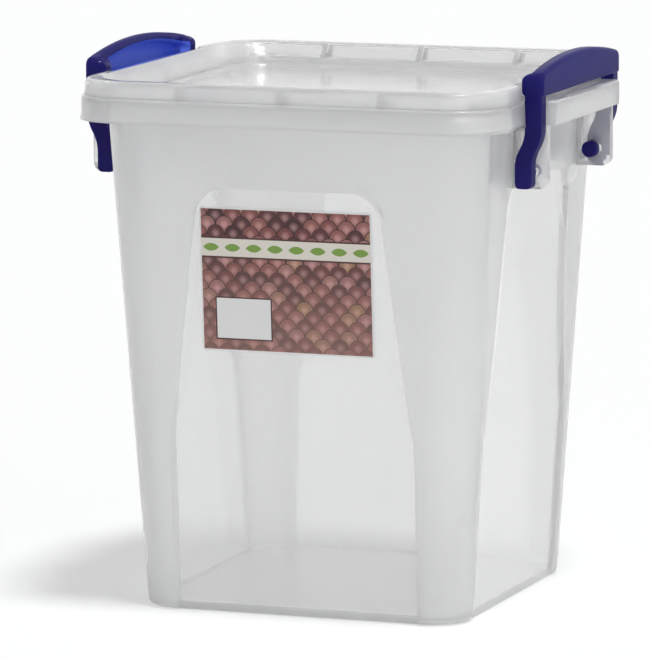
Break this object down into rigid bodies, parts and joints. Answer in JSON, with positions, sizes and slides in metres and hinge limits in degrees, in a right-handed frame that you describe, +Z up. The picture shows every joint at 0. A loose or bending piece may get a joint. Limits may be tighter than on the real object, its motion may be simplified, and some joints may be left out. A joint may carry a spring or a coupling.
{
  "type": "storage container",
  "caption": "Tapered square kitchen storage tub with a sunken lift-off lid, held shut by swing clips that hook over ledges on the lid.",
  "frame": {"origin": "centre of the base, on the surface that the container stands on", "axes": "+Z up, -Y towards the front with the label, clips on +X and -X"},
  "size_m": [0.217, 0.1962, 0.2434],
  "materials": {
    "clear_plastic": "translucent milky polypropylene, smooth",
    "blue_plastic": "opaque deep blue, satin gloss",
    "printed_film": "printed film sticker, satin"
  },
  "bodies": {
    "tub": {"tub": "clear_plastic", "label": "printed_film"},
    "lid": {"lid": "clear_plastic"},
    "clip_right": {"clip_right": "blue_plastic"},
    "clip_left": {"clip_left": "blue_plastic"}
  },
  "joints": [
    {"name": "lid_lift", "type": "slide", "parent": "tub", "child": "lid", "axis": [0, 0, 1], "range_m": [0, 0.04]},
    {"name": "clip_right_swing", "type": "hinge", "parent": "tub", "child": "clip_right", "pos_m": [0.0963, 0, 0.1952], "axis": [0, 1, 0], "range_deg": [0, 150]},
    {"name": "clip_left_swing", "type": "hinge", "parent": "tub", "child": "clip_left", "pos_m": [-0.0963, 0, 0.1952], "axis": [0, -1, 0], "range_deg": [0, 150]}
  ],
  "couplings": [
    {"joint": "clip_right_swing", "follows": "lid_lift", "rad_per_m": 65.4},
    {"joint": "clip_left_swing", "follows": "lid_lift", "rad_per_m": 65.4}
  ]
}
